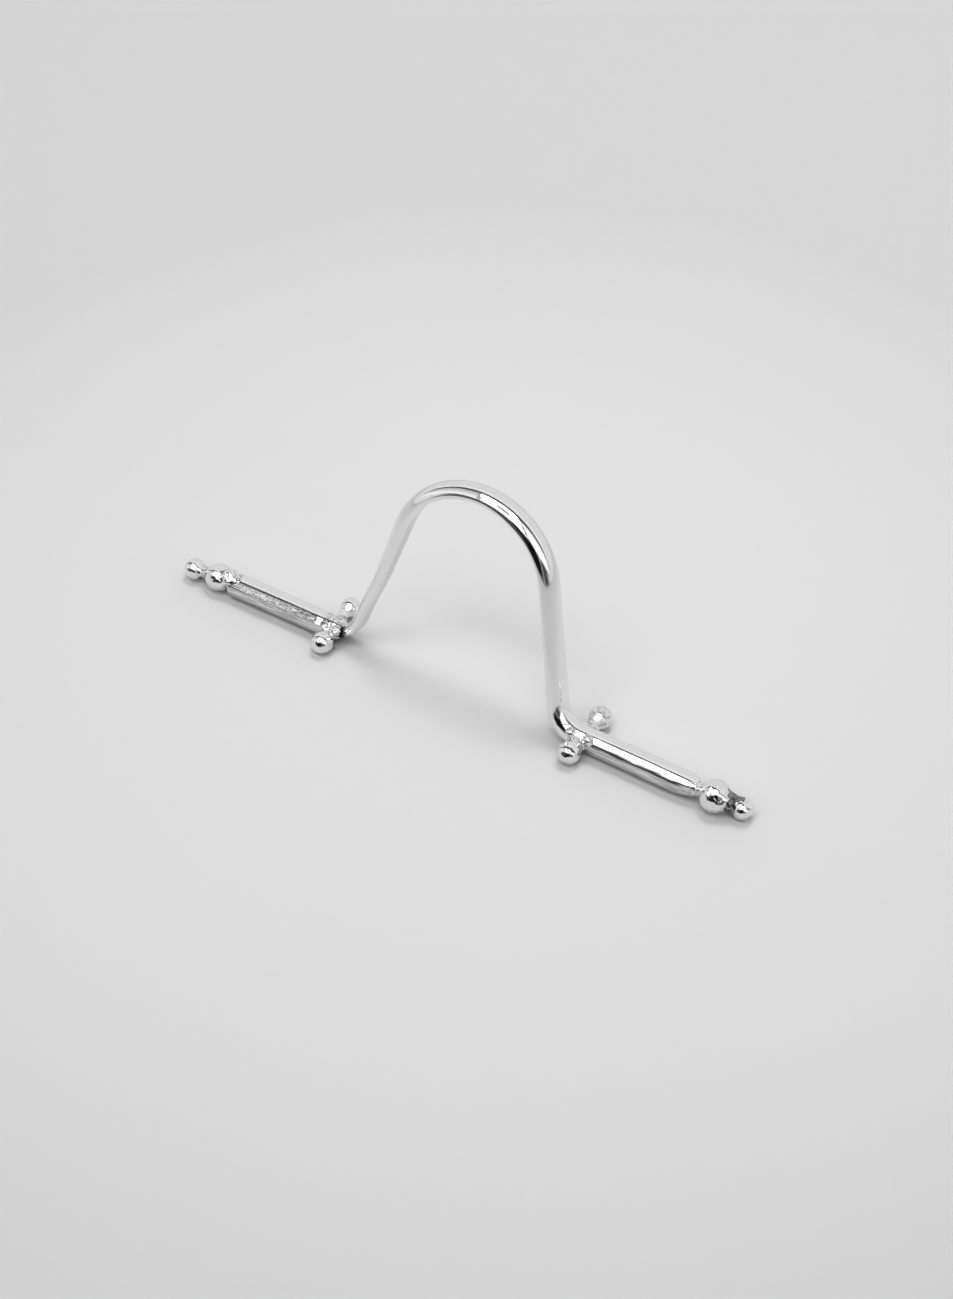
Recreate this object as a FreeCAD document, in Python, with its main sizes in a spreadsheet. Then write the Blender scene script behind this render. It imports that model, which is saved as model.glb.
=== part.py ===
import FreeCAD, Part
import Sketcher
import math
import os

# Arched finger ring: a round rod bent into a tall flattened arch with a straight bar on
# each side, four balled studs soldered beside the arch's feet, and two beads soldered on
# each outer end. It lies on its bars, studs and beads.
#
# Millimetres and degrees, +Z up. X runs along the bars and +Y is the side that the arch
# leans to. The origin is on the resting plane, below the middle of the bounding box.

SIZES = [
    # whole ring
    ("overall_length", 60.0, "outer face of one small bead to that of the other"),
    ("bar_axis_forward", 1.25, "bars' axis in front of the middle of the ring's depth"),
    # rod
    ("rod_diameter", 2.3, "round stock of the bars"),
    ("foot_half_span", 13.0, "middle of the ring to where each bar starts to bend"),
    ("bend_radius", 2.8, "centre line of the bend at each foot"),
    ("leg_lean_left", 14.5, "left leg from the arch's upright"),
    ("leg_lean_right", 13.7, "right leg from the arch's upright"),
    ("crown_radius", 7.7, "centre line of the arch's round top"),
    ("arch_lean_back", 14.0, "plane of the arch from the vertical"),
    ("arch_width", 2.28, "forged section across the plane of the arch"),
    ("arch_thickness", 1.64, "forged section in the plane of the arch"),
    ("bar_reach_left", 24.6, "middle of the ring to the left bar's outer end"),
    ("bar_reach_right", 24.75, "middle of the ring to the right bar's outer end"),
    ("left_end_break", 0.12, "sharp sawn edge, just broken"),
    ("right_end_round", 0.65, "rounded edge of the right bar's end"),
    # beads on the outer ends
    ("large_bead_left", 2.64, "diameter"),
    ("large_bead_right", 2.9, "diameter"),
    ("small_bead_left", 2.0, "diameter"),
    ("small_bead_right", 2.04, "diameter"),
    ("large_bead_left_reach", 26.14, "middle of the ring to the bead's centre"),
    ("large_bead_right_reach", 26.4, "middle of the ring to the bead's centre"),
    # studs: balls melted on short lengths of wire
    ("ball_front_left", 2.12, "diameter"),
    ("ball_back_left", 1.9, "diameter"),
    ("ball_front_right", 2.1, "diameter"),
    ("ball_back_right", 2.16, "diameter"),
    ("stem_front_left", 1.5, "diameter of the wire between bar and ball"),
    ("stem_back_left", 1.1, "diameter"),
    ("stem_front_right", 1.76, "diameter"),
    ("stem_back_right", 1.16, "diameter"),
    ("reach_front_left", 2.21, "bar's axis to the ball's centre"),
    ("reach_back_left", 2.92, "bar's axis to the ball's centre"),
    ("reach_front_right", 2.21, "bar's axis to the ball's centre"),
    ("reach_back_right", 2.77, "bar's axis to the ball's centre"),
    ("along_front_left", 13.1, "middle of the ring to the stud, along the bar"),
    ("along_back_left", 13.3, "middle of the ring to the stud, along the bar"),
    ("along_front_right", 12.95, "middle of the ring to the stud, along the bar"),
    ("along_back_right", 13.25, "middle of the ring to the stud, along the bar"),
    # solder
    ("fillet_inner", 0.85, "bar's axis to the wide end of a stud's fillet"),
    ("fillet_reach", 0.95, "length of a stud's fillet along the stud"),
    ("fillet_diameter", 2.2, "wide end of a stud's fillet"),
    ("fillet_lip", 0.06, "narrow end's stand-off from the stem, on the diameter"),
    ("end_neck_waist", 1.25, "narrowest diameter of the solder between bar and bead"),
    ("end_neck_groove", 0.3, "radius of the hollow round that neck"),
    ("bead_neck_left_waist", 1.05, "narrowest diameter of the solder between the beads"),
    ("bead_neck_left_groove", 0.75, "radius of the hollow round that neck"),
    ("bead_neck_right_waist", 1.36, "narrowest diameter of the solder between the beads"),
    ("bead_neck_right_groove", 0.3, "radius of the hollow round that neck"),
    ("neck_diameter", 1.7, "widest diameter of either neck"),
]

doc = FreeCAD.newDocument("arched_finger_ring")


def make_sheet():
    """The driving dimensions, one per row: name, value, meaning."""
    sheet = doc.addObject("Spreadsheet::Sheet", "sizes")
    for row, (alias, value, meaning) in enumerate(SIZES, start=1):
        sheet.set(f"A{row}", alias)
        sheet.set(f"B{row}", str(value))
        sheet.set(f"C{row}", meaning)
        sheet.setAlias(f"B{row}", alias)
    doc.recompute()
    return sheet


sizes = make_sheet()


def bind(thing, **expressions):
    """Bind properties to the sheet; Placement.Base is given as x, y and z."""
    for name, expression in expressions.items():
        path = f"Placement.Base.{name}" if name in ("x", "y", "z") else name
        thing.setExpression(path, expression)


# ---------------------------------------------------------------- rod


def plane_of(body, role):
    return next(f for f in body.Origin.OriginFeatures if f.Role == role)


def new_sketch(body, name, role, offset=None):
    sketch = body.newObject("Sketcher::SketchObject", name)
    sketch.AttachmentSupport = [(plane_of(body, role), "")]
    sketch.MapMode = "FlatFace"
    if offset:
        sketch.AttachmentOffset = offset
    return sketch


def constrain(sketch, expression, *constraint):
    """Add a dimension whose value comes from the sheet."""
    index = sketch.addConstraint(Sketcher.Constraint(*constraint))
    sketch.setExpression(f"Constraints[{index}]", expression)


def rod_line():
    """Points of the rod's centre line in the plane of the arch, bars at height 0."""
    span, bend, crown = sizes.foot_half_span, sizes.bend_radius, sizes.crown_radius
    lean = {-1: math.radians(sizes.leg_lean_left), 1: math.radians(sizes.leg_lean_right)}
    foot = {
        side: (
            side * (span - bend * math.cos(lean[side])),
            bend * (1 - math.sin(lean[side])),
        )
        for side in (-1, 1)
    }
    # The crown's centre is one crown radius inside both legs.
    inset = {
        side: side * math.cos(lean[side]) * foot[side][0]
        + math.sin(lean[side]) * foot[side][1]
        - crown
        for side in (-1, 1)
    }
    total = math.sin(lean[-1] + lean[1])
    centre = (
        (inset[1] * math.sin(lean[-1]) - inset[-1] * math.sin(lean[1])) / total,
        (inset[1] * math.cos(lean[-1]) + inset[-1] * math.cos(lean[1])) / total,
    )
    shoulder = {
        side: (
            centre[0] + side * crown * math.cos(lean[side]),
            centre[1] + crown * math.sin(lean[side]),
        )
        for side in (-1, 1)
    }
    return lean, foot, centre, shoulder


def flat_vector(point):
    return FreeCAD.Vector(point[0], point[1], 0)


def arc(centre, radius, start, end):
    circle = Part.Circle(flat_vector(centre), FreeCAD.Vector(0, 0, 1), radius)
    return Part.ArcOfCircle(circle, start, end)


def draw_path(body):
    """Bar, bend, leg, crown, leg, bend, bar, each tangent to the next."""
    lean, foot, centre, shoulder = rod_line()
    span, bend, crown = sizes.foot_half_span, sizes.bend_radius, sizes.crown_radius
    down = 1.5 * math.pi
    path = new_sketch(body, "rod_path", "XZ_Plane")
    pieces = [
        Part.LineSegment(flat_vector((-sizes.bar_reach_left, 0)), flat_vector((-span, 0))),
        arc((-span, bend), bend, down, 2 * math.pi - lean[-1]),
        Part.LineSegment(flat_vector(foot[-1]), flat_vector(shoulder[-1])),
        arc(centre, crown, lean[1], math.pi - lean[-1]),
        Part.LineSegment(flat_vector(foot[1]), flat_vector(shoulder[1])),
        arc((span, bend), bend, math.pi + lean[1], down),
        Part.LineSegment(flat_vector((span, 0)), flat_vector((sizes.bar_reach_right, 0))),
    ]
    left_bar, left_bend, left_leg, top, right_leg, right_bend, right_bar = [
        path.addGeometry(piece, False) for piece in pieces
    ]
    start, end, origin = 1, 2, -1
    for joint in (
        (left_bar, end, left_bend, start),
        (left_bend, end, left_leg, start),
        (left_leg, end, top, end),
        (top, start, right_leg, end),
        (right_leg, start, right_bend, start),
        (right_bend, end, right_bar, start),
    ):
        path.addConstraint(Sketcher.Constraint("Tangent", *joint))
    for bar in (left_bar, right_bar):
        path.addConstraint(Sketcher.Constraint("Horizontal", bar))
        path.addConstraint(Sketcher.Constraint("PointOnObject", bar, start, origin))
    constrain(path, "sizes.bar_reach_left", "DistanceX", left_bar, start, origin, start,
              sizes.bar_reach_left)
    constrain(path, "sizes.foot_half_span", "DistanceX", left_bar, end, origin, start, span)
    constrain(path, "sizes.foot_half_span", "DistanceX", origin, start, right_bar, start, span)
    constrain(path, "sizes.bar_reach_right", "DistanceX", origin, start, right_bar, end,
              sizes.bar_reach_right)
    constrain(path, "sizes.bend_radius", "Radius", left_bend, bend)
    constrain(path, "sizes.bend_radius", "Radius", right_bend, bend)
    constrain(path, "sizes.crown_radius", "Radius", top, crown)
    constrain(path, "(90 - sizes.leg_lean_left) * 1 deg", "Angle", left_leg,
              math.pi / 2 - lean[-1])
    constrain(path, "(90 + sizes.leg_lean_right) * 1 deg", "Angle", right_leg,
              math.pi / 2 + lean[1])
    return path


def draw_round(body, name, along):
    """The bar's round section, square to X at the place named by along."""
    sketch = new_sketch(body, name, "YZ_Plane")
    sketch.setExpression("AttachmentOffset.Base.z", along)
    circle = Part.Circle(FreeCAD.Vector(), FreeCAD.Vector(0, 0, 1), sizes.rod_diameter / 2)
    index = sketch.addGeometry(circle, False)
    sketch.addConstraint(Sketcher.Constraint("Coincident", index, 3, -1, 1))
    constrain(sketch, "sizes.rod_diameter / 2", "Radius", index, sizes.rod_diameter / 2)
    return sketch


def draw_oval(body, name, side):
    """The forged section, square to the leg where it leaves the bend."""
    lean, foot, _, _ = rod_line()
    turn = math.degrees(lean[side]) - 90 if side < 0 else 90 - math.degrees(lean[side])
    place = FreeCAD.Placement(
        FreeCAD.Vector(0, foot[side][1], foot[side][0]),
        FreeCAD.Rotation(FreeCAD.Vector(1, 0, 0), turn),
    )
    sketch = new_sketch(body, name, "YZ_Plane", place)
    wide, thin = sizes.arch_width / 2, sizes.arch_thickness / 2
    index = sketch.addGeometry(Part.Ellipse(FreeCAD.Vector(), wide, thin), False)
    sketch.exposeInternalGeometry(index)
    long_axis, short_axis = index + 1, index + 2
    sketch.addConstraint(Sketcher.Constraint("Coincident", index, 3, -1, 1))
    sketch.addConstraint(Sketcher.Constraint("Horizontal", long_axis))
    constrain(sketch, "sizes.arch_width", "Distance", long_axis, sizes.arch_width)
    constrain(sketch, "sizes.arch_thickness", "Distance", short_axis, sizes.arch_thickness)
    return sketch


def add_bar(body, name, section, length):
    bar = body.newObject("PartDesign::Pad", name)
    bar.Profile = section
    bar.setExpression("Length", length)
    section.Visibility = False


def add_pipe(body, name, section, path, edges, end_section=None):
    pipe = body.newObject("PartDesign::AdditivePipe", name)
    pipe.Profile = section
    pipe.Spine = (path, edges)
    if end_section:
        pipe.Transformation = "Multisection"
        pipe.Sections = [(end_section, [""])]


def round_end(body, name, along, radius):
    """Round the edge of the bar's end face that is square to X at the place along."""
    doc.recompute()
    sharp = body.Tip
    ends = [
        f"Edge{i}"
        for i, edge in enumerate(sharp.Shape.Edges, start=1)
        if abs(edge.BoundBox.XMin - along) + abs(edge.BoundBox.XMax - along) < 1e-3
    ]
    fillet = body.newObject("PartDesign::Fillet", name)
    fillet.Base = (sharp, ends)
    fillet.setExpression("Radius", radius)


def make_rod():
    body = doc.addObject("PartDesign::Body", "bent_rod")
    path = draw_path(body)
    left_end = draw_round(body, "left_end_section", "-sizes.bar_reach_left")
    left_round = draw_round(body, "left_foot_section", "-sizes.foot_half_span")
    right_round = draw_round(body, "right_foot_section", "sizes.foot_half_span")
    left_oval = draw_oval(body, "left_leg_section", -1)
    right_oval = draw_oval(body, "right_leg_section", 1)
    doc.recompute()
    add_bar(body, "left_bar", left_end, "sizes.bar_reach_left - sizes.foot_half_span")
    add_pipe(body, "left_bend", left_round, path, ["Edge2"], left_oval)
    add_pipe(body, "arch", left_oval, path, ["Edge3", "Edge4", "Edge5"])
    add_pipe(body, "right_bend", right_round, path, ["Edge6"], right_oval)
    add_bar(body, "right_bar", right_round, "sizes.bar_reach_right - sizes.foot_half_span")
    round_end(body, "left_end_edge", -sizes.bar_reach_left, "sizes.left_end_break")
    round_end(body, "right_end_edge", sizes.bar_reach_right, "sizes.right_end_round")
    lean_back = FreeCAD.Rotation(FreeCAD.Vector(1, 0, 0), -sizes.arch_lean_back)
    body.Placement = FreeCAD.Placement(FreeCAD.Vector(), lean_back)
    bind(body, y="-sizes.bar_axis_forward", z="sizes.rod_diameter / 2")
    return body


# ------------------------------------------------------ beads, studs and solder


def primitive(kind, name, **properties):
    thing = doc.addObject(f"Part::{kind}", name)
    bind(thing, **properties)
    return thing


def cut(name, base, *tools):
    result = doc.addObject("Part::Cut", name)
    result.Base = base
    if len(tools) > 1:
        group = doc.addObject("Part::MultiFuse", name + "_tools")
        group.Shapes = list(tools)
        result.Tool = group
    else:
        result.Tool = tools[0]
    return result


def make_bead(name, size, along):
    """A melted bead that rests on the ground, on the bars' line."""
    return primitive(
        "Sphere", name, Radius=f"{size} / 2", x=along, y="-sizes.bar_axis_forward",
        z=f"{size} / 2",
    )


def make_stud(rod, corner, front, side):
    """A ball on a stem, coped to the bar's side; front and side are -1 or 1."""
    ball, stem = f"sizes.ball_{corner}", f"sizes.stem_{corner}"
    reach, along = f"sizes.reach_{corner}", f"{side} * sizes.along_{corner}"
    head = primitive(
        "Sphere", "ball_" + corner, Radius=f"{ball} / 2", x=along,
        y=f"{front} * {reach} - sizes.bar_axis_forward", z=f"{ball} / 2",
    )
    wire = primitive(
        "Cylinder", "wire_" + corner, Radius=f"{stem} / 2", Height=reach, x=along,
        y="-sizes.bar_axis_forward", z=f"{ball} / 2",
    )
    wire.Placement.Rotation = FreeCAD.Rotation(FreeCAD.Vector(1, 0, 0), -90 * front)
    whole = doc.addObject("Part::MultiFuse", "balled_wire_" + corner)
    whole.Shapes = [head, wire]
    return cut("side_stud_" + corner, whole, rod)


def make_stud_solder(rod, stud, corner, front, side):
    """The flare of solder round a stud's root."""
    flare = primitive(
        "Cone", "flare_" + corner, Radius1="sizes.fillet_diameter / 2",
        Radius2=f"(sizes.stem_{corner} + sizes.fillet_lip) / 2",
        Height="sizes.fillet_reach", x=f"{side} * sizes.along_{corner}",
        y=f"{front} * sizes.fillet_inner - sizes.bar_axis_forward",
        z="sizes.rod_diameter / 2",
    )
    flare.Placement.Rotation = FreeCAD.Rotation(FreeCAD.Vector(1, 0, 0), -90 * front)
    return cut("solder_stud_" + corner, flare, rod, stud)


def make_neck(name, start, length, height, waist, groove, *neighbours):
    """A waisted neck of solder between two neighbours, along X from start."""
    turn = FreeCAD.Rotation(FreeCAD.Vector(0, 1, 0), 90)
    neck = primitive(
        "Cylinder", "blank_" + name, Radius="sizes.neck_diameter / 2", Height=length,
        x=start, y="-sizes.bar_axis_forward", z=height,
    )
    hollow = primitive(
        "Torus", "groove_" + name, Radius1=f"{waist} / 2 + {groove}", Radius2=groove,
        x=f"{start} + ({length}) / 2", y="-sizes.bar_axis_forward", z=height,
    )
    for thing in (neck, hollow):
        thing.Placement.Rotation = turn
    return cut(name, neck, hollow, *neighbours)


def make_end(rod, hand, side):
    """The two beads on one outer end and the solder that holds them."""
    half = "sizes.overall_length / 2"
    large, small = f"sizes.large_bead_{hand}", f"sizes.small_bead_{hand}"
    large_at = f"sizes.large_bead_{hand}_reach"
    small_at = f"({half} - {small} / 2)"
    large_bead = make_bead("large_end_bead_" + hand, large, f"{side} * {large_at}")
    small_bead = make_bead("small_end_bead_" + hand, small, f"{side} * {small_at}")
    bar_end = f"sizes.bar_reach_{hand}"
    # Each neck runs into both neighbours, which are then cut out of it.
    near, far = f"({bar_end} - {large} / 8)", f"({large_at} - {large} / 3)"
    near_start = f"{side} * ({near if side > 0 else far})"
    end_neck = make_neck(
        "solder_bar_to_bead_" + hand, near_start, f"{far} - {near}",
        f"(sizes.rod_diameter + {large}) / 4", "sizes.end_neck_waist",
        "sizes.end_neck_groove", rod, large_bead,
    )
    inner, outer = f"({large_at} + {large} / 4)", f"({small_at} - {small} / 4)"
    inner_start = f"{side} * ({inner if side > 0 else outer})"
    bead_neck = make_neck(
        "solder_bead_to_bead_" + hand, inner_start, f"{outer} - {inner}",
        f"({large} + {small}) / 4", f"sizes.bead_neck_{hand}_waist",
        f"sizes.bead_neck_{hand}_groove", large_bead, small_bead,
    )
    return [large_bead, small_bead, end_neck, bead_neck]


def make_parts():
    rod = make_rod()
    parts = [rod]
    for hand, side in (("left", -1), ("right", 1)):
        parts += make_end(rod, hand, side)
        for face, front in (("front", -1), ("back", 1)):
            corner = f"{face}_{hand}"
            stud = make_stud(rod, corner, front, side)
            parts += [stud, make_stud_solder(rod, stud, corner, front, side)]
    doc.recompute()
    return parts


def check(parts):
    """Stop before anything is written if an object failed or a shape is unsound."""
    for thing in doc.Objects:
        if {"Invalid", "Error"} & set(thing.State):
            raise RuntimeError(f"{thing.Label} failed: {thing.State}")
    for part in parts:
        shape = part.Shape
        if shape.isNull() or not shape.isValid() or len(shape.Solids) != 1:
            raise RuntimeError(f"{part.Label} is not one sound solid")
        box = shape.optimalBoundingBox()
        print(f"{part.Label}: {shape.Volume:.3f} mm3, x {box.XMin:.2f}..{box.XMax:.2f},"
              f" y {box.YMin:.2f}..{box.YMax:.2f}, z {box.ZMin:.2f}..{box.ZMax:.2f}")


ring_parts = make_parts()
check(ring_parts)
os.makedirs("parts", exist_ok=True)
for ring_part in ring_parts:
    ring_part.Shape.exportStep(f"parts/{ring_part.Label}.step")
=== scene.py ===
import math
import bpy
import numpy
from mathutils import Matrix, Vector, noise


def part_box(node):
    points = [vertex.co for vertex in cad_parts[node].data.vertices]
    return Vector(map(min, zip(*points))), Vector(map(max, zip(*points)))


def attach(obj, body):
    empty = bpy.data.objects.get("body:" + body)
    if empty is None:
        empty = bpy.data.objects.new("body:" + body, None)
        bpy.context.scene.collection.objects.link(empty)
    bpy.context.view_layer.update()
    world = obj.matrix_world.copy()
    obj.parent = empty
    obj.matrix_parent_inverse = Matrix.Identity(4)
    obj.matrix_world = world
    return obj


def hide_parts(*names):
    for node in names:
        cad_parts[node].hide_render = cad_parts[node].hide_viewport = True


# An arched finger ring of polished silver: one rod, bent and forged by hand, with balled
# studs soldered beside its feet and two beads soldered on each end. Metres throughout.

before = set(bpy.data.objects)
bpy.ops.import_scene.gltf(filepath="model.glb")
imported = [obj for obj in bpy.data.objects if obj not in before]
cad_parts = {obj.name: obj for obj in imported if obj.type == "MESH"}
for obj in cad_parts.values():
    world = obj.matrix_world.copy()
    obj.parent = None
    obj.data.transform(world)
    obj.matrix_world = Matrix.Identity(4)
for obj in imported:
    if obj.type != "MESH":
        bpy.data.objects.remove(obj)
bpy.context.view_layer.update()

MM = 0.001
ROOT = "root"
DOUBLES = 0.0005 * MM
SAME_PLACE = 0.01 * MM


# ------------------------------------------------------------ places from the frame


def middle(node):
    low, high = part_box(node)
    return (Vector(low) + Vector(high)) / 2


def spread(node):
    low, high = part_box(node)
    return Vector(high) - Vector(low)


BAR_Y = middle("large_end_bead_left").y
LEFT_END = Vector(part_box("bent_rod")[0]).x
RIGHT_END = Vector(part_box("bent_rod")[1]).x

# The rod, as in the frame: its centre line lies in one plane that leans back.
ROD_RADIUS = 1.15 * MM
FOOT_SPAN = 13.0 * MM
BEND_RADIUS = 2.8 * MM
CROWN_RADIUS = 7.7 * MM
LEAN_LEFT = math.radians(14.5)
LEAN_RIGHT = math.radians(13.7)
LEAN_BACK = math.radians(14.0)


# ------------------------------------------------------------ hand work


def deselect():
    if bpy.context.object and bpy.context.object.mode == "EDIT":
        bpy.ops.object.mode_set(mode="OBJECT")
    bpy.ops.object.select_all(action="DESELECT")


def edit(piece):
    """Open one piece in edit mode with nothing selected in it."""
    deselect()
    piece.select_set(True)
    bpy.context.view_layer.objects.active = piece
    bpy.ops.object.mode_set(mode="EDIT")
    bpy.ops.mesh.select_all(action="DESELECT")
    bpy.ops.object.mode_set(mode="OBJECT")


def pick_edges(piece, rule):
    """Select the edges whose two ends the rule accepts, in edit mode."""
    mesh = piece.data
    for edge in mesh.edges:
        edge.select = rule(*(mesh.vertices[i].co for i in edge.vertices))
    bpy.ops.object.mode_set(mode="EDIT")
    bpy.ops.mesh.select_mode(type="EDGE")


def close(piece, name):
    """Finish a piece: back to object mode, its place in its mesh, smooth, named."""
    deselect()
    piece.select_set(True)
    bpy.context.view_layer.objects.active = piece
    bpy.ops.object.transform_apply(location=True, rotation=True, scale=True)
    bpy.ops.object.shade_smooth()
    piece.name = piece.data.name = name
    piece.select_set(False)
    return piece


def move_points(piece, rule):
    for vertex in piece.data.vertices:
        vertex.co = rule(vertex.co)
    piece.data.update()


def tidy_shell(piece):
    """Merge doubles and turn every face outwards."""
    deselect()
    bpy.context.view_layer.objects.active = piece
    piece.select_set(True)
    bpy.ops.object.mode_set(mode="EDIT")
    bpy.ops.mesh.select_all(action="SELECT")
    bpy.ops.mesh.remove_doubles(threshold=DOUBLES)
    bpy.ops.mesh.normals_make_consistent(inside=False)
    bpy.ops.object.mode_set(mode="OBJECT")


def ramp(value, low, high):
    """0 below low, 1 above high, smooth between."""
    share = min(1.0, max(0.0, (value - low) / (high - low)))
    return share * share * (3 - 2 * share)


def lump(point, size, seed):
    """A smooth swell between about -1 and 1 that changes over a distance of size."""
    return noise.noise(Vector(point) / size + Vector((seed * 7.3, seed * 3.1, seed)))


# ------------------------------------------------------------ the bent rod


def rod_stretches():
    """The rod's centre line as (length, turn) from the left end; a turn is in radians."""
    up_left, up_right = math.pi / 2 - LEAN_LEFT, math.pi / 2 - LEAN_RIGHT
    sin_l, cos_l = math.sin(up_left), math.cos(up_left)
    sin_r, cos_r = math.sin(up_right), math.cos(up_right)
    round_part = BEND_RADIUS + CROWN_RADIUS
    across = 2 * FOOT_SPAN - round_part * (sin_l + sin_r)
    climb = round_part * (cos_l - cos_r)
    both = cos_l * sin_r + cos_r * sin_l
    left_leg = (across * sin_r + climb * cos_r) / both
    right_leg = (across * sin_l - climb * cos_l) / both
    return [
        (-LEFT_END - FOOT_SPAN, 0.0),
        (BEND_RADIUS * up_left, up_left),
        (left_leg, 0.0),
        (CROWN_RADIUS * (up_left + up_right), -(up_left + up_right)),
        (right_leg, 0.0),
        (BEND_RADIUS * up_right, up_right),
        (RIGHT_END - FOOT_SPAN, 0.0),
    ]


STRETCHES = rod_stretches()
MARKS = [sum(length for length, _ in STRETCHES[:i]) for i in range(len(STRETCHES) + 1)]
ROD_LENGTH = MARKS[-1]


def walk(distance):
    """Point (x, height) and heading of the centre line at a distance from its left end."""
    x, height, heading = LEFT_END, 0.0, 0.0
    left = distance
    for index, (length, turn) in enumerate(STRETCHES):
        last = index == len(STRETCHES) - 1
        part = left if last or left < length else length
        if turn:
            radius = length / turn
            after = heading + turn * part / length
            x += radius * (math.sin(after) - math.sin(heading))
            height += radius * (math.cos(heading) - math.cos(after))
            heading = after
        else:
            x += part * math.cos(heading)
            height += part * math.sin(heading)
        left -= part
        if left <= 0:
            break
    return x, height, heading


LEAN = Matrix.Rotation(-LEAN_BACK, 3, "X")
# How far the left bar stands back and the right tip stands forward, and how far the left
# foot's bend gives way outwards.
LEFT_BAR_BACK = 0.10 * MM
RIGHT_TIP_FRONT = 0.28 * MM
LEFT_FOOT_SLACK = 0.35 * MM
SLACK_TOP = MARKS[2] + 0.3 * MM
SLACK_END = MARKS[2] + 6 * MM


def out_of_line(x):
    """How far the two bars stand out of one straight line."""
    across = ramp(x, -FOOT_SPAN, FOOT_SPAN)
    to_tip = max(0.0, x - FOOT_SPAN) / (RIGHT_END - FOOT_SPAN)
    return LEFT_BAR_BACK * (1 - across) - RIGHT_TIP_FRONT * (0.25 * across + 0.75 * to_tip)


def bent(point):
    """A point of the straight rod once the rod is bent and the arch leans back."""
    along = point.x - LEFT_END
    x, height, heading = walk(along)
    slack = ramp(along, MARKS[1] - 0.5 * MM, SLACK_TOP)
    slack *= 1 - ramp(along, SLACK_TOP, SLACK_END)
    x -= LEFT_FOOT_SLACK * slack
    upright = Vector(
        (x - point.z * math.sin(heading), point.y, height + point.z * math.cos(heading))
    )
    return LEAN @ upright + Vector((0, BAR_Y + out_of_line(x), ROD_RADIUS))


ROUND_STEPS = 96
ALONG_STEPS = 400
SAWN_EDGE = (0.12 * MM, 3)
ROUNDED_TIP = (1.0 * MM, 10)
# The arch is hammered to a half-round: a dome outside, a flat inside, small edge radii.
DOME = 1.28 * MM
DOME_BACK = 0.15 * MM
DOME_IN = 0.53 * MM
# (share of the way along the arch, size of the half-round, radius of its edges in mm,
# angle in degrees at which the dome leaves the edge)
GAUGES = (
    (0.0, 0.80, 0.30, 20.0),
    (0.15, 0.86, 0.30, 20.0),
    (0.34, 1.05, 0.38, 22.0),
    (0.5, 1.0, 0.38, 20.0),
    (0.58, 1.0, 0.22, 12.0),
    (0.72, 1.06, 0.25, 14.0),
    (1.0, 1.12, 0.30, 16.0),
)


def gauge(share):
    """Size, edge radius and edge angle of the half-round at a share of the arch."""
    share = min(max(share, 0.0), 1.0)
    for first, last in zip(GAUGES, GAUGES[1:]):
        if share <= last[0]:
            part = ramp(share, first[0], last[0])
            size, edge, start = (a + (b - a) * part for a, b in zip(first[1:], last[1:]))
            return size, edge * MM, math.radians(start)


def half_round(facing, size, edge, start):
    """Front and outward distance of the half-round's surface that faces one way."""
    on_dome = min(max(facing, start), math.pi - start)
    core = DOME * size - edge
    front = core * math.cos(on_dome) + edge * math.cos(facing) - DOME_BACK
    outward = core * math.sin(on_dome) + edge * math.sin(facing) - DOME_IN * size
    return front, outward


# Hand marks, as shares of the rod's radius: hammer streaks and swells all over and dents on
# the bars, file chatter along the front of both bars, and pits at the right tip.
HAMMER_STREAK, HAMMER_DENT, HAMMER_SWELL = 0.004, 0.008, 0.006
FILE_CHATTER, TIP_PITS = 0.026, 0.016
# The left bar has more chatter on its file line, and a torn line below that.
LEFT_CHATTER, LEFT_TEAR = 0.012, 0.03
# A burr along the left bar: its height, and its place and half width in radians up the front.
BURR, BURR_AT, BURR_HALF = 0.06, 0.30, 0.13
# The crumpled left foot, and how much is filed away below the right tip.
CRUMPLE, FOOT_CHATTER = 0.07, 0.03
TIP_FILED = 0.3


def in_arch_at(along):
    """1 where the rod is hammered to a half-round, 0 on the round bars."""
    left = ramp(along, MARKS[1] - 1.3 * MM, MARKS[1] + 0.9 * MM)
    return left * (1 - ramp(along, MARKS[5] - 1.2 * MM, MARKS[6] + 0.2 * MM))


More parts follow.
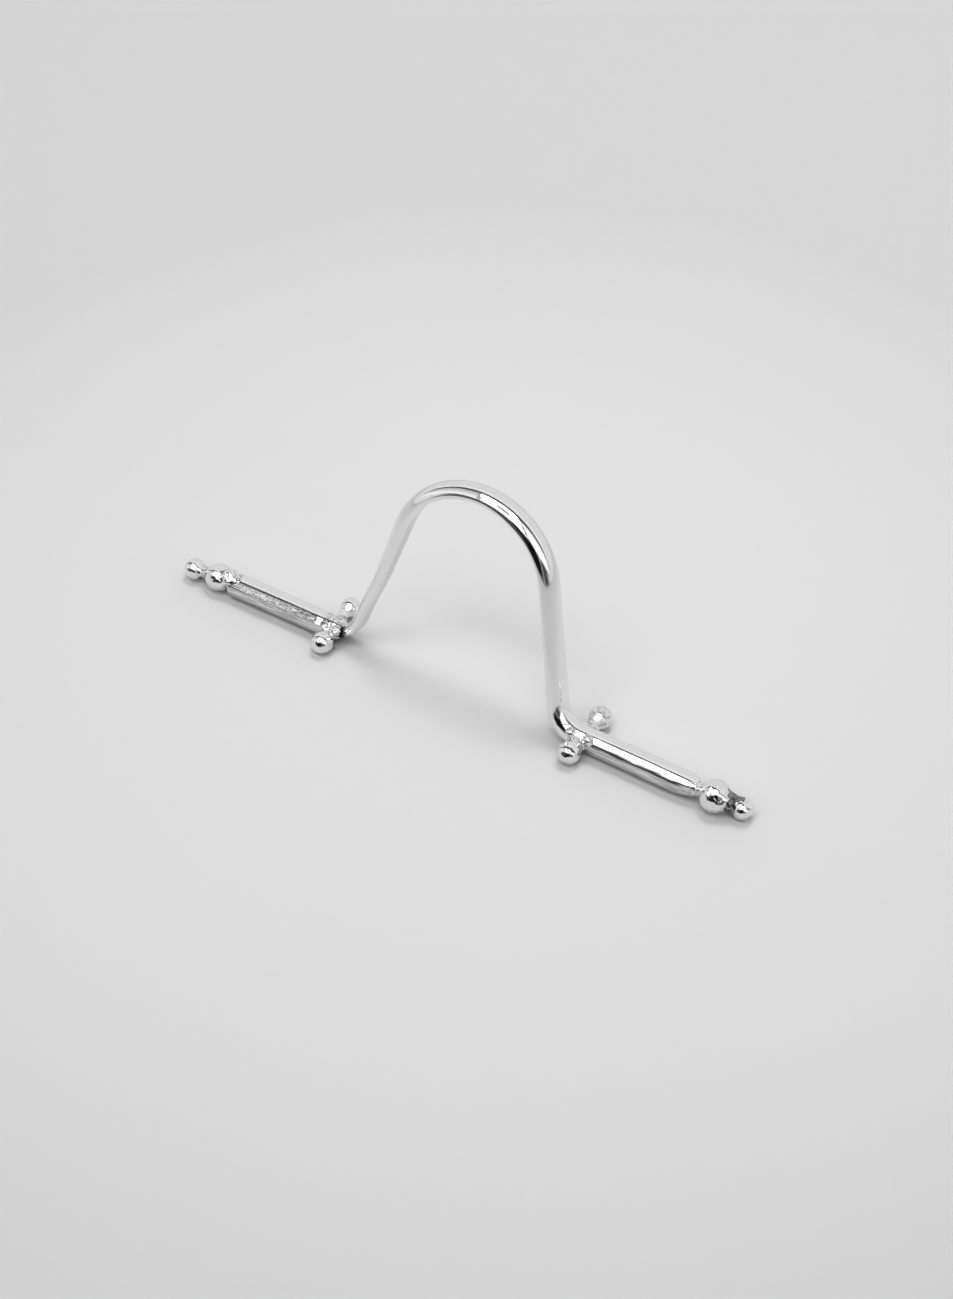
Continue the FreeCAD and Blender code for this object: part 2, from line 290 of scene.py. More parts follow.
def hand_marks(along, facing, spot, on_bar):
    """The rod's size at one spot as a share of its even size."""
    streak = lump(Vector((along / 6, spot.y, spot.z)), 0.30 * MM, 1)
    dent = lump(spot, 1.7 * MM, 2)
    swell = lump(spot, 4.0 * MM, 3)
    chatter = lump(spot, 0.4 * MM, 4) + 0.6 * lump(spot, 0.18 * MM, 5)
    left_bar = 1 - ramp(along, MARKS[1] - 1.0 * MM, MARKS[1])
    file_line = ramp(facing, 0.1, 0.45) * (1 - ramp(facing, 0.6, 0.8))
    torn_line = ramp(facing, -0.55, -0.2) * (1 - ramp(facing, 0.2, 0.5))
    pitted = ramp(along, ROD_LENGTH - 3.0 * MM, ROD_LENGTH - 0.8 * MM)
    hand = 1 + HAMMER_STREAK * streak * (0.4 + 0.6 * on_bar)
    hand += on_bar * HAMMER_DENT * dent + HAMMER_SWELL * swell
    hand += on_bar * chatter * (FILE_CHATTER * file_line + TIP_PITS * pitted)
    hand += left_bar * chatter * (LEFT_CHATTER * file_line + LEFT_TEAR * torn_line)
    burr = max(0.0, 1 - ((facing - BURR_AT) / BURR_HALF) ** 2) ** 2
    uneven = 1 + 0.5 * lump(spot, 1.4 * MM, 7) + 0.5 * lump(spot, 0.5 * MM, 8)
    hand += left_bar * ramp(along, 0.2 * MM, 1.2 * MM) * BURR * burr * uneven
    at_foot = 1 - ramp(abs(along - MARKS[1] - 0.3 * MM), 0.6 * MM, 2.0 * MM)
    hand += CRUMPLE * at_foot * lump(spot, 0.7 * MM, 6) + FOOT_CHATTER * at_foot * chatter
    below = max(0.0, math.cos(facing + 1.0))
    return hand - TIP_FILED * below * ramp(along, ROD_LENGTH - 2.2 * MM, ROD_LENGTH)


def forged(point):
    """One point of the straight round rod after hammering the arch and filing the bars."""
    along = point.x - LEFT_END
    facing = math.atan2(point.z, -point.y)
    if facing < -math.pi / 2:
        facing += 2 * math.pi
    reach = math.hypot(point.y, point.z) / ROD_RADIUS
    in_arch = in_arch_at(along)
    share = (along - MARKS[1]) / (MARKS[6] - MARKS[1])
    front, outward = half_round(facing, *gauge(share))
    front = ROD_RADIUS * math.cos(facing) * (1 - in_arch) + front * in_arch
    outward = ROD_RADIUS * math.sin(facing) * (1 - in_arch) + outward * in_arch
    hand = hand_marks(along, facing, Vector((along, front, outward)), 1 - in_arch)
    return Vector((point.x, -front * reach * hand, outward * reach * hand))


def make_rod():
    """A straight round rod with worked ends, forged, then bent."""
    deselect()
    bpy.ops.mesh.primitive_cylinder_add(
        vertices=ROUND_STEPS, radius=ROD_RADIUS, depth=ROD_LENGTH,
        location=(LEFT_END + ROD_LENGTH / 2, 0, 0), rotation=(0, math.pi / 2, 0),
    )
    rod = bpy.context.object
    bpy.ops.object.transform_apply(location=True, rotation=True, scale=True)
    far = LEFT_END + ROD_LENGTH
    for end, (offset, segments) in ((LEFT_END, SAWN_EDGE), (far, ROUNDED_TIP)):
        edit(rod)
        pick_edges(rod, lambda a, b: abs(a.x - end) + abs(b.x - end) < SAME_PLACE)
        bpy.ops.mesh.bevel(offset=offset, segments=segments, profile=0.5)
        bpy.ops.object.mode_set(mode="OBJECT")
    edit(rod)
    pick_edges(rod, lambda a, b: abs(a.x - b.x) > ROD_LENGTH / 2)
    bpy.ops.mesh.subdivide(number_cuts=ALONG_STEPS)
    bpy.ops.object.mode_set(mode="OBJECT")
    move_points(rod, forged)
    straight = rod.data.attributes.new("along_rod", "FLOAT_VECTOR", "POINT")
    for vertex, place in zip(rod.data.vertices, straight.data):
        place.vector = vertex.co
    move_points(rod, bent)
    return close(rod, "silver_rod")


# ------------------------------------------------------------ turned shapes


SPIN_STEPS = 56
PROFILE_STEPS = 40
# Share of a stud's profile steps that go to its stem; the rest go round its outer half ball.
STEM_SHARE = 0.6


def turned(name, start, direction, profile):
    """Spin a profile of (distance, radius) pairs about the line from start."""
    axis = Vector(direction).normalized()
    side = axis.orthogonal().normalized()
    points = [start + axis * t + side * r for t, r in profile]
    mesh = bpy.data.meshes.new(name)
    mesh.from_pydata(points, [(i, i + 1) for i in range(len(points) - 1)], [])
    piece = bpy.data.objects.new(name, mesh)
    bpy.context.scene.collection.objects.link(piece)
    edit(piece)
    bpy.ops.object.mode_set(mode="EDIT")
    bpy.ops.mesh.select_all(action="SELECT")
    bpy.ops.mesh.spin(steps=SPIN_STEPS, angle=2 * math.pi, center=start, axis=axis)
    bpy.ops.object.mode_set(mode="OBJECT")
    tidy_shell(piece)
    return piece


def blend_up(a, b, soft):
    """The larger of two radii, with a hollow of size soft where they meet."""
    near = max(soft - abs(a - b), 0.0) / soft
    return max(a, b) + near * near * soft / 4


def make_stud(corner, stem_radius, hollow, longer, aside, seed):
    """A ball melted on a short stem that goes into the bar's side."""
    node = "side_stud_" + corner
    low, high = (Vector(corner_point) for corner_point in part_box(node))
    ball = (high.z - low.z) / 2
    front = -1 if middle(node).y < BAR_Y else 1
    tip = low.y if front < 0 else high.y
    reach = abs(tip - BAR_Y) - ball + longer
    start = Vector((middle(node).x + aside, BAR_Y, ball))
    root, pole = 0.3 * ROD_RADIUS, reach + ball
    profile = [(root, 0.0)]
    for i in range(PROFILE_STEPS + 1):
        # Even lengths along the stem, even steps of angle round the ball's outer half.
        share = i / PROFILE_STEPS
        if share < STEM_SHARE:
            t = root + (reach - root) * share / STEM_SHARE
        else:
            t = reach + ball * math.sin((share - STEM_SHARE) / (1 - STEM_SHARE) * math.pi / 2)
        ball_r = math.sqrt(max(ball**2 - (t - reach) ** 2, 0.0))
        r = blend_up(stem_radius, ball_r, hollow) if t < reach else ball_r
        profile.append((t, r))
    piece = turned(node, start, (0, front, 0), profile)
    centre = start + Vector((0, front * reach, 0))

    def melted(point):
        share = ramp((point.y - BAR_Y) * front, ROD_RADIUS, pole)
        out = point - centre
        swell = 0.06 * lump(point, 1.0 * MM, seed) + 0.035 * lump(point, 0.45 * MM, seed + 1)
        swell += 0.012 * lump(point, 0.2 * MM, seed + 2)
        moved = point + out * swell * share
        moved.z = max(moved.z, 0.0)
        return moved

    move_points(piece, melted)
    return close(piece, "stud_" + corner)


# How far the right beads stand from their nodes' places, to follow the tip of their bar.
BEAD_SHIFT = {
    "large_end_bead_right": Vector((-0.12 * MM, -RIGHT_TIP_FRONT - 0.14 * MM, 0)),
    "small_end_bead_right": Vector((-0.22 * MM, -0.12 * MM, 0)),
}
BEAD_ROUGH = 0.085


def bead_middle(node):
    return middle(node) + BEAD_SHIFT.get(node, Vector())


def make_bead(name, node, stretch, seed):
    """A bead of melted silver: nearly round, with soft lumps."""
    centre = bead_middle(node)
    radius = spread(node).x / 2
    deselect()
    bpy.ops.mesh.primitive_ico_sphere_add(subdivisions=6, radius=radius, location=centre)
    piece = bpy.context.object
    bpy.ops.object.transform_apply(location=True, rotation=True, scale=True)
    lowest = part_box(node)[0][2]

    def melted(point):
        out = point - centre
        swell = 1 + BEAD_ROUGH * lump(point, 1.2 * MM, seed)
        swell += 0.5 * BEAD_ROUGH * lump(point, 0.5 * MM, seed + 1)
        swell += 0.12 * BEAD_ROUGH * lump(point, 0.2 * MM, seed + 2)
        moved = centre + Vector([o * s for o, s in zip(out, stretch)]) * swell
        moved.z = max(moved.z, lowest)
        return moved

    move_points(piece, melted)
    return close(piece, name)


# ------------------------------------------------------------ solder


WAVES = 9


def ripples(points, size, seed):
    """A few waves in random directions summed, mostly within -1 to 1."""
    draw = numpy.random.default_rng(seed)
    total = numpy.zeros(len(points))
    for _ in range(WAVES):
        way = draw.normal(size=3)
        way *= 2 * math.pi / (size * draw.uniform(0.8, 2.0) * numpy.linalg.norm(way))
        total += numpy.sin(points @ way + draw.uniform(0, 6.28))
    return total / math.sqrt(WAVES)


def stick(points, start, end, radius):
    """Distance from points to a round-ended stick; a ball when both ends are one place."""
    start, run = numpy.array(start), numpy.array(end) - numpy.array(start)
    share = numpy.clip((points - start) @ run / max(run @ run, 1e-18), 0, 1)
    return numpy.linalg.norm(points - start - share[:, None] * run, axis=1) - radius


def soft_join(first, second, soft):
    near = numpy.maximum(soft - numpy.abs(first - second), 0) / soft
    return numpy.minimum(first, second) - near * near * soft / 4


# How far a skin of solder dips under its neighbours, the spacing of the points that stand for
# the rod's middle line, how many times the search for the skin halves its range, and how far
# from a stud's root that search goes.
SUNK = 0.035 * MM
CORE_STEP = 0.7 * MM
HALVINGS = 16
STUD_SOLDER_REACH = 2.4 * MM


def rod_core(points, low, high):
    """Distance to the rod between two places on it, a little under its skin."""
    steps = max(2, round((high - low) / CORE_STEP))
    line = [
        bent(Vector((LEFT_END + low + (high - low) * i / steps, 0, 0)))
        for i in range(steps + 1)
    ]
    ways = [
        stick(points, first, last, ROD_RADIUS - SUNK) for first, last in zip(line, line[1:])
    ]
    return numpy.minimum.reduce(ways)


def melted(name, centre, reach, hidden, flowing, soft, rough, seed):
    """Solder run over its neighbours.

    hidden gives the distance to the parts it clings to and flowing lists the sticks and
    balls of the solder itself; the skin is where the softly joined shapes end.
    """
    deselect()
    bpy.ops.mesh.primitive_ico_sphere_add(subdivisions=6, radius=1.0, location=(0, 0, 0))
    piece = bpy.context.object
    count = len(piece.data.vertices)
    ways = numpy.empty(count * 3)
    piece.data.vertices.foreach_get("co", ways)
    ways = ways.reshape(-1, 3)
    ways /= numpy.linalg.norm(ways, axis=1)[:, None]
    middle_point = numpy.array(centre)

    def depth(points):
        skin = hidden(points)
        uneven = rough * (
            ripples(points, 0.7 * MM, seed) + 0.5 * ripples(points, 0.3 * MM, seed + 1)
        )
        for start, end, radius in flowing:
            skin = soft_join(skin, stick(points, start, end, radius) + uneven, soft)
        return skin

    near, far = numpy.zeros(count), numpy.full(count, reach)
    for _ in range(HALVINGS):
        half = (near + far) / 2
        inside = depth(middle_point + ways * half[:, None]) < 0
        near, far = numpy.where(inside, half, near), numpy.where(inside, far, half)
    points = middle_point + ways * near[:, None]
    points[:, 2] = numpy.maximum(points[:, 2], 0)
    piece.data.vertices.foreach_set("co", points.ravel())
    piece.data.update()
    return close(piece, name)


def make_stud_solder(corner, stem_radius, lobes, soft, rough, seed):
    """A fillet round the stem, with the listed round drops of solder beside it."""
    place = middle("side_stud_" + corner)
    front = -1 if place.y < BAR_Y else 1
    height = spread("side_stud_" + corner).z / 2
    root = Vector((place.x, BAR_Y + front * 0.9 * MM, height))
    flowing = [(root, root + Vector((0, front * 0.55 * MM, 0)), stem_radius + 0.01 * MM)]
    for along, out, up, radius in lobes:
        drop = Vector((place.x + along * MM, BAR_Y + front * out * MM, up * MM))
        flowing.append((drop, drop, radius * MM))
    low = MARKS[1] - 3.0 * MM if place.x < 0 else MARKS[6] + 0.5 * MM

    def clings(points):
        return rod_core(points, low, low + 3.0 * MM)

    return melted("fillet_" + corner, root, STUD_SOLDER_REACH, clings, flowing,
                  soft, rough, seed)


def make_neck(name, first, last, radius, clings, soft, rough, seed):
    """Solder drawn in to a waist between two neighbours."""
    reach = max((last - first).length * 0.62, radius * 1.6)
    return melted(name, (first + last) / 2, reach, clings, [(first, last, radius)],
                  soft, rough, seed)


# ------------------------------------------------------------ materials


class Tree:
    """Small helper for building node trees."""

    def __init__(self, owner):
        owner.use_nodes = True
        self.tree = owner.node_tree
        self.tree.nodes.clear()

    def node(self, kind, **settings):
        made = self.tree.nodes.new(kind)
        for key, value in settings.items():
            setattr(made, key, value)
        return made

    def join(self, source, target):
        self.tree.links.new(source, target)

    def math(self, operation, first, second=None):
        made = self.tree.nodes.new("ShaderNodeMath")
        made.operation = operation
        for socket, value in zip(made.inputs, (first, second)):
            if value is None:
                continue
            if isinstance(value, (int, float)):
                socket.default_value = value
            else:
                self.join(value, socket)
        return made.outputs[0]

    def step(self, value, low, high):
        """0 below low, 1 above high, smooth between."""
        made = self.tree.nodes.new("ShaderNodeMapRange")
        made.interpolation_type = "SMOOTHSTEP"
        self.join(value, made.inputs["Value"])
        made.inputs["From Min"].default_value = low
        made.inputs["From Max"].default_value = high
        return made.outputs["Result"]

    def fade(self, value, low, high):
        """1 below low, 0 above high, smooth between."""
        return self.math("SUBTRACT", 1.0, self.step(value, low, high))

    def product(self, first, *others):
        for other in others:
            first = self.math("MULTIPLY", first, other)
        return first

    def near(self, value, place, inner, outer):
        """1 within inner of a place, 0 past outer."""
        off = self.math("ABSOLUTE", self.math("SUBTRACT", value, place))
        return self.fade(off, inner, outer)

    def axes(self, vector):
        split = self.node("ShaderNodeSeparateXYZ")
        self.join(vector, split.inputs["Vector"])
        return split.outputs

    def squeezed(self, vector, along):
        """The vector with its X scaled, so a pattern on it runs along the piece."""
        made = self.node("ShaderNodeMapping")
        self.join(vector, made.inputs["Vector"])
        made.inputs["Scale"].default_value = (along, 1.0, 1.0)
        return made.outputs["Vector"]

    def noise(self, vector, scale, detail):
        made = self.tree.nodes.new("ShaderNodeTexNoise")
        made.inputs["Scale"].default_value = scale
        made.inputs["Detail"].default_value = detail
        self.join(vector, made.inputs["Vector"])
        return made.outputs["Fac"]

    def fill(self, socket, value):
        """Link a socket, or set it to a number or, on a colour, a grey."""
        if not isinstance(value, (int, float)):
            self.join(value, socket)
        elif socket.type == "RGBA":
            socket.default_value = (value, value, value, 1)
        else:
            socket.default_value = value

    def mix(self, kind, share, first, second):
        """Mix two greys or colours (RGBA) or two numbers (FLOAT)."""
        made = self.node("ShaderNodeMix", data_type=kind)
        self.join(share, made.inputs[0])
        first_socket, result = MIX_SOCKETS[kind]
        self.fill(made.inputs[first_socket], first)
        self.fill(made.inputs[first_socket + 1], second)
        return made.outputs[result]


# Where a Mix node keeps its first input and its result, by kind.
MIX_SOCKETS = {"FLOAT": (2, 0), "RGBA": (6, 2)}
# Greys mixed in: one for filings, pits and painted shade on the rod, one near black for
# painted shade and painted dark reflection.
WORN_AND_SHADED_GREY = 0.25
PAINTED_DARK_GREY = 0.03
SCRATCH_DEPTH = 0.02 * MM


def rod_wear(tree, place, lines, scratch):
    """Scratch strength, share of filings, pits and painted shade, and of painted dark
    reflection.
    """
    along, side, outward = tree.axes(place)
    facing = tree.math("ARCTAN2", outward, tree.math("MULTIPLY", side, -1.0))
    # The lower front of the bars keeps its file marks, and its colour there is darkened in
    # streaks as painted shade; the arch is polished.
    on_front = tree.product(tree.fade(facing, 0.2, 0.62), tree.step(facing, -2.2, -1.6))
    arch_low, arch_high = LEFT_END + MARKS[1], LEFT_END + MARKS[6]
    before = tree.fade(along, arch_low, arch_low + 1 * MM)
    after = tree.step(along, arch_high - 1 * MM, arch_high)
    on_bars = tree.math("ADD", before, after)
    filed_and_shaded = tree.product(on_front, on_bars)
    strength = tree.math("ADD", scratch, tree.product(filed_and_shaded, 0.5))
    streaks = tree.math("SUBTRACT", 1.2, tree.step(lines, 0.35, 0.65))
    worn_and_shaded = tree.product(filed_and_shaded, streaks, 0.5)
    # The flat inside of the arch, facing the floor under it, is darkened a little as painted
    # shade.
    inside = tree.math("ADD", tree.fade(facing, -1.5, -0.7), tree.step(facing, 2.9, 3.1))
    in_arch = tree.math("SUBTRACT", 1.0, on_bars)
    worn_and_shaded = tree.math("MAXIMUM", worn_and_shaded, tree.product(inside, in_arch, 0.3))
    # The left bar is pitted along the upper half of its front.
    pits = tree.step(tree.noise(tree.squeezed(place, 0.22), 14000.0, 2.0), 0.42, 0.68)
    upper = tree.product(tree.step(facing, 0.0, 0.3), tree.fade(facing, 0.95, 1.15))
    worn_and_shaded = tree.math("MAXIMUM", worn_and_shaded, tree.product(pits, upper, before, 0.75))
    # Painted dark reflection: the front of the left foot is darkened to nearly black in
    # spots.
    near_foot = tree.near(along, arch_low + 0.5 * MM, 0.7 * MM, 1.7 * MM)
    spots = tree.step(tree.noise(place, 1900.0, 4.0), 0.36, 0.46)
    painted_dark = tree.product(near_foot, spots, tree.fade(facing, 0.85, 1.3))
    return strength, worn_and_shaded, painted_dark


def new_surface(name):
    material = bpy.data.materials.new(name)
    tree = Tree(material)
    output = tree.node("ShaderNodeOutputMaterial")
    shader = tree.node("ShaderNodeBsdfPrincipled")
    tree.join(shader.outputs["BSDF"], output.inputs["Surface"])
    return material, tree, shader


def metal_surface(
    name, shade, patch, rough_low, rough_high, scratch, along_rod=False, shaded_below=0.0
):
    """Silver with faint scratches, patches of softer polish and a little tarnish.

    shade holds the dull and the bright colour and patch the size of the patches. Below the
    height given last, the colour darkens to near black: painted shade near the sheet.
    """
    material, tree, shader = new_surface(name)
    shader.inputs["Metallic"].default_value = 1.0
    if along_rod:
        place = tree.node("ShaderNodeAttribute", attribute_name="along_rod").outputs["Vector"]
    else:
        place = tree.node("ShaderNodeTexCoord").outputs["Object"]
    tarnish = tree.step(tree.noise(place, 1.0 / patch, 4.0), 0.32, 0.62)
    colour = tree.mix("RGBA", tarnish, *shade)
    lines = tree.noise(tree.squeezed(place, 0.05 if along_rod else 0.5), 9000.0, 3.0)
    bump = tree.node("ShaderNodeBump")
    bump.inputs["Distance"].default_value = SCRATCH_DEPTH
    strength = scratch
    if along_rod:
        strength, worn_and_shaded, painted_dark = rod_wear(tree, place, lines, scratch)
        # Filings, pits and painted shade grey the rod; painted dark reflection blackens the
        # front of the left foot.
        colour = tree.mix("RGBA", worn_and_shaded, colour, WORN_AND_SHADED_GREY)
        colour = tree.mix("RGBA", painted_dark, colour, PAINTED_DARK_GREY)
    # Painted shade: the colour darkens towards the sheet.
    if shaded_below:
        uneven = tree.product(tree.noise(place, 1500.0, 3.0), 1.2 * MM)
        height = tree.math("ADD", tree.axes(place)["Z"], uneven)
        painted_dark = tree.fade(height, shaded_below + 0.4 * MM, shaded_below + 0.8 * MM)
        colour = tree.mix("RGBA", painted_dark, colour, PAINTED_DARK_GREY)
    rough = tree.node("ShaderNodeMapRange")
    tree.join(tarnish, rough.inputs["Value"])
    rough.inputs["To Min"].default_value = rough_high
    rough.inputs["To Max"].default_value = rough_low
    tree.join(rough.outputs["Result"], shader.inputs["Roughness"])
    tree.join(colour, shader.inputs["Base Color"])
    tree.fill(bump.inputs["Strength"], strength)
    tree.join(lines, bump.inputs["Height"])
    tree.join(bump.outputs["Normal"], shader.inputs["Normal"])
    return material


# The sheet's grey at its palest part and past the fade of its painted shade, how far the fade
# reaches, how far behind the ring the palest part lies, and the sheet's side in metres.
SHEET_SHADE_GREYS = (0.66, 0.58)
SHEET_FADE = 75 * MM
SHEET_PALEST = 5 * MM
SHEET_SIZE = 6.0


def sheet_with_painted_shade():
    """The pale matt sheet that the ring lies on, a little darker away from it: painted shade.
    """
    material, tree, shader = new_surface("pale_sheet_painted_shade")
    shader.inputs["Roughness"].default_value = 0.9
    shader.inputs["Specular IOR Level"].default_value = 0.2
    place = tree.node("ShaderNodeTexCoord").outputs["Object"]
    cloud = tree.product(tree.noise(place, 40.0, 3.0), 0.1)
    sideways, back, _ = tree.axes(place)
    forward = tree.math("SUBTRACT", SHEET_PALEST, back)
    across, along = (
        tree.math("POWER", tree.math("DIVIDE", way, SHEET_FADE), 2.0)
        for way in (sideways, forward)
    )
    away = tree.math("ADD", tree.math("ADD", across, along), cloud)
    colours = tree.node("ShaderNodeValToRGB")
    for element, grey in zip(colours.color_ramp.elements, SHEET_SHADE_GREYS):
        element.color = (grey, grey, grey, 1)
    tree.join(away, colours.inputs["Fac"])
    tree.join(colours.outputs["Color"], shader.inputs["Base Color"])
    return material


# ------------------------------------------------------------ studio

# The tent's parts, each laid over the ones before it: name, round, sideways, brightness.
# round is the angle in degrees up over the ring, from the front (0) by the top (90) to the
# back (180). sideways is the sine of the angle towards +X. Both are (low, high, softness).
# A brightness of four numbers is that at the low and high end, and the angles of those ends.
WIDE = None
TENT = (
    ("pale back", (104, 116, 4), WIDE, 0.85),
    ("shade between roof and back", (81, 97, 3), WIDE, 0.1),
    ("left roof panel", (32, 81, 2), (-0.97, -0.41, 0.02), (0.9, 0.55, 35.0, 80.0)),
    ("right roof panel", (32, 81, 2), (0.38, 0.95, 0.02), (1.0, 0.9, 50.0, 80.0)),
    ("top roof panel", (32, 81, 2), (-0.38, 0.34, 0.015), (1.35, 4.6, 50.0, 80.0)),
    ("left seam", (32, 81, 2), (-0.42, -0.38, 0.008), 0.1),
    ("right seam", (32, 81, 2), (0.34, 0.385, 0.01), 0.1),
    ("hole in the top panel", (49, 66, 3), (-0.14, 0.12, 0.03), 0.4),
    ("opening low in front", (-3, 31, 3), (-0.68, 0.9, 0.1), 0.1),
    ("its dark middle", (2, 33, 4), (0.0, 0.48, 0.06), 0.01),
    ("strip in the opening", (-3, 31, 3), (0.53, 0.58, 0.02), 0.45),
    ("below the sheet", (-90, 2, 3), WIDE, 0.3),
)
BACK_LEVEL = 0.72
TENT_STRENGTH = 1.05
BACKDROP_GREY = 0.62


def light_tent():
    """A soft white tent all round, which the camera itself sees as a plain backdrop."""
    world = bpy.data.worlds.new("light_tent")
    bpy.context.scene.world = world
    tree = Tree(world)
    sideways, back, up = tree.axes(tree.node("ShaderNodeTexCoord").outputs["Generated"])
    forward = tree.math("MULTIPLY", back, -1.0)
    round_it = tree.math("DEGREES", tree.math("ARCTAN2", up, forward))

    def window(value, low, high, soft):
        rising = tree.step(value, low - soft, low + soft)
        return tree.product(rising, tree.fade(value, high - soft, high + soft))

    level = BACK_LEVEL
    for _, rounds, sides, brightness in TENT:
        mask = window(round_it, *rounds)
        if sides is not WIDE:
            mask = tree.product(mask, window(sideways, *sides))
        if isinstance(brightness, tuple):
            lower, upper, low, high = brightness
            brightness = tree.mix("FLOAT", tree.step(round_it, low, high), lower, upper)
        level = tree.mix("FLOAT", mask, level, brightness)
    tent = tree.node("ShaderNodeBackground")
    tree.join(level, tent.inputs["Color"])
    tent.inputs["Strength"].default_value = TENT_STRENGTH
    plain = tree.node("ShaderNodeBackground")
    tree.fill(plain.inputs["Color"], BACKDROP_GREY)
    choice = tree.node("ShaderNodeMixShader")
    tree.join(tree.node("ShaderNodeLightPath").outputs["Is Camera Ray"], choice.inputs[0])
    tree.join(tent.outputs["Background"], choice.inputs[1])
    tree.join(plain.outputs["Background"], choice.inputs[2])
    output = tree.node("ShaderNodeOutputWorld")
    tree.join(choice.outputs["Shader"], output.inputs["Surface"])


LAMP_POWER = 0.38
LAMP_SIZE = 120 * MM
LAMP_PLACE = Vector((-20 * MM, 135 * MM, 400 * MM))


def lamp():
    """A broad soft lamp over the back of the ring, so its shadow falls to the front."""
    data = bpy.data.lights.new("back_lamp", "AREA")
    data.shape = "DISK"
    data.size = LAMP_SIZE
    data.energy = LAMP_POWER
    hung = bpy.data.objects.new("back_lamp", data)
    bpy.context.scene.collection.objects.link(hung)
    hung.location = LAMP_PLACE
    hung.rotation_mode = "QUATERNION"
    hung.rotation_quaternion = (-LAMP_PLACE).to_track_quat("-Z", "Y")
    hung.visible_glossy = False


def floor():
    deselect()
    bpy.ops.mesh.primitive_plane_add(size=SHEET_SIZE, location=(0, 0, 0))
    sheet = bpy.context.object
    sheet.name = "sheet"
    sheet.data.materials.append(sheet_with_painted_shade())


CAMERA_AZIMUTH, CAMERA_ELEVATION = math.radians(32.09), math.radians(45.54)
CAMERA_DISTANCE = 204.2 * MM
CAMERA_LENS, CAMERA_SENSOR = 62.75, 36.0
# The ring sits left of and below the middle of the view by these lengths.
RIGHT_OF_RING, ABOVE_RING = 1.85 * MM, 3.64 * MM


def camera():
    """Above the right-hand front of the ring, looking down on it from about 200 mm."""
    away = Vector(
        (
            math.sin(CAMERA_AZIMUTH) * math.cos(CAMERA_ELEVATION),
            -math.cos(CAMERA_AZIMUTH) * math.cos(CAMERA_ELEVATION),
            math.sin(CAMERA_ELEVATION),
        )
    )
    right = Vector((math.cos(CAMERA_AZIMUTH), math.sin(CAMERA_AZIMUTH), 0))
    up = away.cross(right)
    middle_point = Vector((0, BAR_Y + 0.04 * MM, 0))
    target = middle_point + right * RIGHT_OF_RING + up * ABOVE_RING
    data = bpy.data.cameras.new("camera")
    data.lens = CAMERA_LENS
    data.sensor_width = CAMERA_SENSOR
    data.clip_start = 1 * MM
    taken = bpy.data.objects.new("camera", data)
    bpy.context.scene.collection.objects.link(taken)
    taken.location = middle_point + away * CAMERA_DISTANCE
    taken.rotation_mode = "QUATERNION"
    taken.rotation_quaternion = (target - taken.location).to_track_quat("-Z", "Y")
    bpy.context.scene.camera = taken


# ------------------------------------------------------------ the ring

ROD_SILVER = metal_surface(
    "rod_silver", (0.85, 0.87), 0.7 * MM, 0.05, 0.13, 0.25, along_rod=True
)
POLISHED = metal_surface("bead_silver", (0.8, 0.87), 0.4 * MM, 0.05, 0.13, 0.15)
CLOUDY = metal_surface("cloudy_bead_silver", (0.6, 0.87), 0.4 * MM, 0.14, 0.34, 0.3)
# The solder's colour darkens near the sheet as painted shade.
SOLDER = metal_surface(
    "silver_solder", (0.5, 0.87), 0.45 * MM, 0.06, 0.22, 0.2, shaded_below=0.75 * MM
)
BURNT_SOLDER = metal_surface("burnt_silver_solder", (0.04, 0.34), 0.35 * MM, 0.2, 0.45, 0.4)


def belongs(piece, node, material):
    piece.data.materials.clear()
    piece.data.materials.append(material)
    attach(piece, ROOT)
    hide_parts(node)


def metal(piece, node):
    belongs(piece, node, POLISHED)


def solder(piece, node, material=SOLDER):
    belongs(piece, node, material)


rod = make_rod()
belongs(rod, "bent_rod", ROD_SILVER)

# corner: stem radius, hollow behind the ball, extra length and place along the bar in mm;
# drops of solder beside the stem as (along the bar, out from its middle, height, radius) in
# mm; softness and roughness of the solder
STUDS = {
    "front_left": (0.66, 0.30, -0.20, -0.05,
                   ((0.7, 0.75, 1.75, 0.45), (-0.6, 0.72, 1.7, 0.42)), 0.22, 0.045),
    "back_left": (0.50, 0.35, 0.35, -0.25, ((0.4, 0.9, 1.4, 0.35),), 0.4, 0.015),
    "front_right": (0.86, 0.25, 0.0, 0.0,
                    ((-0.68, 0.78, 1.95, 0.52), (1.05, 0.78, 1.85, 0.52)), 0.18, 0.006),
    "back_right": (0.6, 0.40, 0.05, 0.0, ((-0.5, 0.9, 1.5, 0.4),), 0.4, 0.01),
}
for seed, (corner, sizes) in enumerate(STUDS.items(), start=11):
    stem_radius, hollow, longer, aside, lobes, soft, rough = sizes
    stud = make_stud(
        corner, stem_radius * MM, hollow * MM, longer * MM, aside * MM, seed
    )
    belongs(stud, "side_stud_" + corner, CLOUDY if corner == "back_right" else POLISHED)
    fillet = make_stud_solder(corner, stem_radius * MM, lobes, soft * MM, rough * MM, seed)
    solder(fillet, "solder_stud_" + corner)

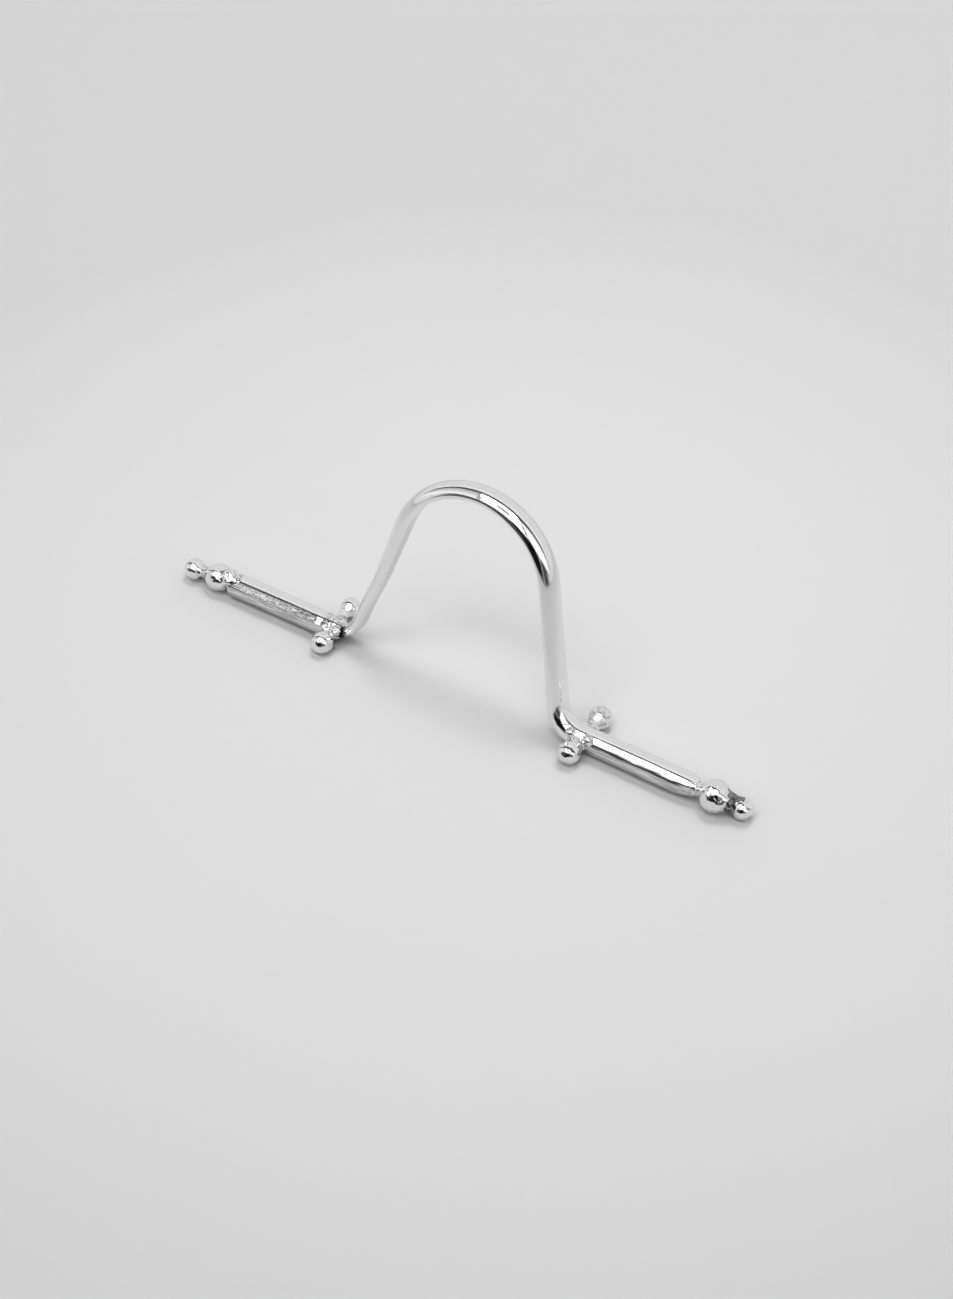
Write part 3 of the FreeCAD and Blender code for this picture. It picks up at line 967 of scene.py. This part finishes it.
# bead: stretch along X, Y and Z, and the seed of its lumps
BEADS = {
    "large_end_bead_left": ((1.0, 1.0, 1.0), 31),
    "large_end_bead_right": ((1.02, 1.0, 1.0), 33),
    "small_end_bead_left": ((0.98, 1.0, 1.0), 35),
    "small_end_bead_right": ((0.98, 1.0, 1.0), 37),
}
for node, (stretch, seed) in BEADS.items():
    metal(make_bead(node.replace("_end", ""), node, stretch, seed), node)

# hand: radius and height above the middle line of the solder between bar and large bead,
# and the radius of the solder between the two beads, in mm
NECKS = {"left": (0.92, 0.42, 0.58), "right": (0.6, 0.0, 0.84)}
for hand, (bar_neck, lift, bead_neck) in NECKS.items():
    side = -1 if hand == "left" else 1
    end = LEFT_END if side < 0 else RIGHT_END
    large, small = (bead_middle(size + "_end_bead_" + hand) for size in ("large", "small"))
    large_radius = spread("large_end_bead_" + hand).x / 2 - 0.06 * MM
    small_radius = spread("small_end_bead_" + hand).x / 2 - 0.05 * MM
    tip = Vector((end, BAR_Y + out_of_line(end), ROD_RADIUS))
    low, high = (0, 3 * MM) if side < 0 else (ROD_LENGTH - 3 * MM, ROD_LENGTH)
    step = ROD_RADIUS if side < 0 else -ROD_RADIUS

    def bar_and_bead(points):
        bar = rod_core(points, max(low, step), min(high, ROD_LENGTH + min(step, 0)))
        return numpy.minimum(bar, stick(points, large, large, large_radius))

    def two_beads(points):
        return numpy.minimum(
            stick(points, large, large, large_radius),
            stick(points, small, small, small_radius),
        )

    shoulder = large - Vector((side * large_radius, 0, 0))
    shoulder.z += lift * MM
    inner = tip + Vector((-side * 0.35 * MM, 0, lift * MM))
    neck = make_neck("neck_" + hand, inner, shoulder,
                     bar_neck * MM, bar_and_bead, 0.3 * MM, 0.03 * MM, 41 + side)
    solder(neck, "solder_bar_to_bead_" + hand)
    outside = large + Vector((side * large_radius * 0.8, 0, 0))
    inside = small - Vector((side * small_radius * 0.8, 0, 0))
    link = make_neck("link_" + hand, outside, inside, bead_neck * MM, two_beads,
                     0.3 * MM, 0.03 * MM, 51 + side)
    solder(link, "solder_bead_to_bead_" + hand, SOLDER if side < 0 else BURNT_SOLDER)

floor()
light_tent()
lamp()
camera()
look = bpy.context.scene.view_settings
look.view_transform = "Standard"
look.exposure, look.gamma = 0.13, 0.82
